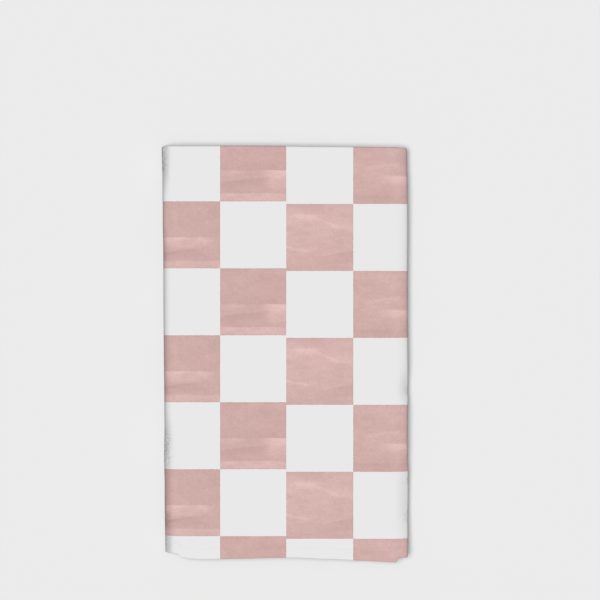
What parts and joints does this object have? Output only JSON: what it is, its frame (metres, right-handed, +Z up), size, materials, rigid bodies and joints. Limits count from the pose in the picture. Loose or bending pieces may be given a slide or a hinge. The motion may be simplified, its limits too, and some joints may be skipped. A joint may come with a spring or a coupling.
{
  "type": "folded tea towel",
  "caption": "Cotton tea towel with a large check print, folded lengthwise and then across into a flat rectangular pad with soft rolled sides and an uneven hem.",
  "frame": {"origin": "on the surface the towel rests on, under the middle of its outline", "axes": "+Z up, through the printed face; +Y along the folded towel, from its open hem to its top crease; +X across it, to the right when the face is seen with the hem nearest"},
  "size_m": [0.1576, 0.2667, 0.0117],
  "materials": {
    "printed_cotton": "plain woven cotton, matt, printed with dusty pink and white checks"
  },
  "bodies": {
    "root": {"folded_towel": "printed_cotton"}
  },
  "joints": []
}
